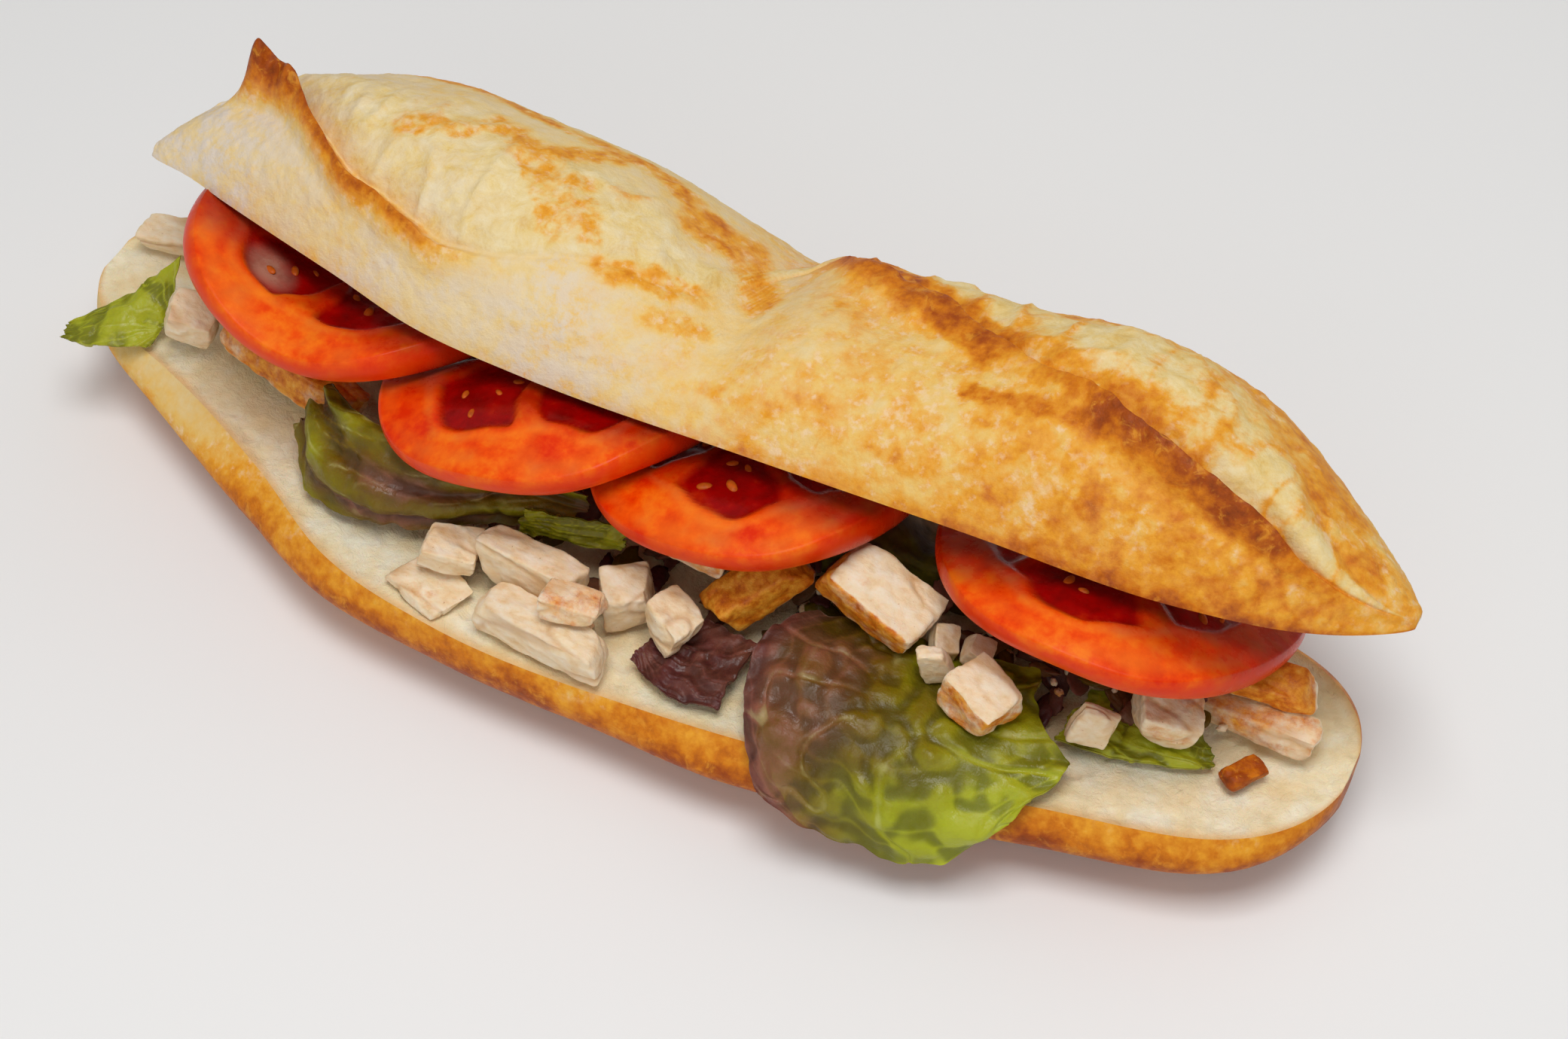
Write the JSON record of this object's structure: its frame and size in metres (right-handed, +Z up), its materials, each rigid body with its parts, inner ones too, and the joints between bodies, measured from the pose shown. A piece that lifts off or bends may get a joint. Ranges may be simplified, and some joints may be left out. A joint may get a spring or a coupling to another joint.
{
  "type": "chicken sandwich",
  "caption": "Split baguette standing open at one long side, filled with roast chicken, lettuce and tomato slices.",
  "frame": {"origin": "middle of the sandwich's outline on the surface that it rests on", "axes": "+X along the loaf, towards the end with the plump slashed crust; +Y from the open side to the back; +Z up"},
  "size_m": [0.2764, 0.103, 0.0822],
  "materials": {
    "crust": "dry baked crust, golden brown",
    "pale_crust": "dry baked crust, pale and floury with golden brown slashes",
    "tomato": "wet cut tomato",
    "chicken": "moist roast chicken, whitish with golden seared patches",
    "lettuce_green": "moist leaf, yellow green",
    "lettuce_red_green": "moist leaf, green with brownish purple patches"
  },
  "bodies": {
    "root": {"bread_bottom": "crust", "bread_top": "pale_crust", "tomato_slice_1": "tomato", "tomato_slice_2": "tomato", "tomato_slice_3": "tomato", "tomato_slice_4": "tomato", "filling_bed": "chicken", "chicken_01": "chicken", "chicken_02": "chicken", "chicken_03": "chicken", "chicken_04": "chicken", "chicken_05": "chicken", "chicken_06": "chicken", "chicken_07": "chicken", "chicken_08": "chicken", "chicken_09": "chicken", "chicken_10": "chicken", "chicken_11": "chicken", "chicken_12": "chicken", "chicken_13": "chicken", "chicken_14": "chicken", "chicken_15": "chicken", "chicken_16": "chicken", "chicken_17": "chicken", "chicken_18": "chicken", "chicken_19": "chicken", "chicken_20": "chicken", "chicken_21": "chicken", "chicken_22": "chicken", "chicken_23": "chicken", "chicken_24": "chicken", "chicken_25": "chicken", "crust_chip": "crust", "leaf_front": "lettuce_red_green", "leaf_left": "lettuce_red_green", "leaf_tip": "lettuce_green", "leaf_shadow": "lettuce_red_green", "leaf_mid": "lettuce_green", "leaf_right": "lettuce_green", "leaf_back_1": "lettuce_green", "leaf_back_2": "lettuce_red_green"}
  },
  "joints": []
}
